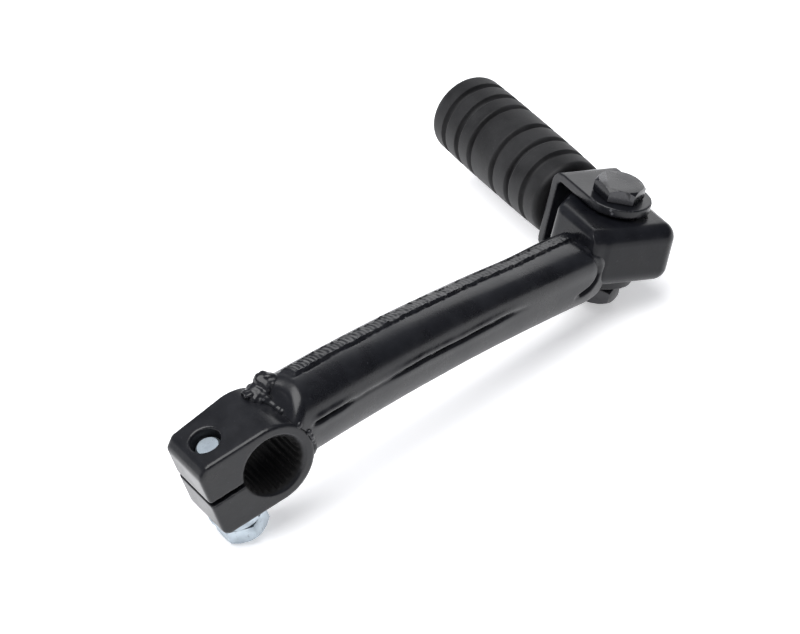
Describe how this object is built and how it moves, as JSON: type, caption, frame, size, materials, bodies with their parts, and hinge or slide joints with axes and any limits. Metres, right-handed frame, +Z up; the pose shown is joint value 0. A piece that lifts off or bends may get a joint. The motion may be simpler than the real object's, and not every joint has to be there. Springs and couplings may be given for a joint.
{
  "type": "kick start lever",
  "caption": "Folding kick start lever: splined clamp hub, pressed steel tube arm, pivot knuckle and a fold-out pedal with a ribbed rubber.",
  "frame": {"origin": "on the shaft axis at the hub's mid width, at the mount shaft_axis", "axes": "+Y along the shaft axis and the pedal, outward from the engine; +X from the hub towards the pedal end; +Z up as the lever lies on a bench"},
  "size_m": [0.1779, 0.1257, 0.0458],
  "materials": {
    "bare_steel": "bare oiled steel",
    "black_paint": "semi-gloss black paint on steel",
    "black_paint_arm": "semi-gloss black paint on steel",
    "black_paint_bolt": "semi-gloss black paint on steel",
    "black_paint_clevis": "semi-gloss black paint on steel",
    "black_paint_knuckle": "semi-gloss black paint on steel",
    "black_paint_weld": "semi-gloss black paint on steel",
    "rubber": "matt moulded rubber",
    "zinc_plate": "bright zinc plating"
  },
  "bodies": {
    "lever": {"hub_clamp": "black_paint", "clamp_flat_washer": "zinc_plate", "clamp_lock_washer": "zinc_plate", "clamp_bolt": "zinc_plate", "arm_tube": "black_paint_arm", "arm_seam_weld": "black_paint_weld", "hub_weld_top": "black_paint_weld", "hub_weld_under": "black_paint_weld", "knuckle": "black_paint_knuckle", "pivot_bush": "bare_steel", "thrust_washer_upper": "bare_steel", "thrust_washer_lower": "bare_steel", "detent_spring": "bare_steel"},
    "pedal": {"clevis": "black_paint_clevis", "pivot_bolt": "black_paint_bolt", "pivot_lock_washer": "black_paint_bolt", "pivot_nut": "black_paint_bolt", "pedal_stem": "black_paint_clevis", "stem_weld": "black_paint_weld", "pedal_rubber": "rubber"},
    "ball": {"detent_ball": "bare_steel"}
  },
  "joints": [
    {"name": "pedal_fold", "type": "hinge", "parent": "lever", "child": "pedal", "pos_m": [0.141, 0.0398, -0.0054], "axis": [-0.2538, 0, -0.9673], "range_deg": [0, 90]},
    {"name": "detent_press", "type": "slide", "parent": "lever", "child": "ball", "axis": [0.2538, 0, 0.9673], "range_m": [0, 0.0005], "stiffness_N_per_m": 2000, "deforming": ["detent_spring"]}
  ]
}
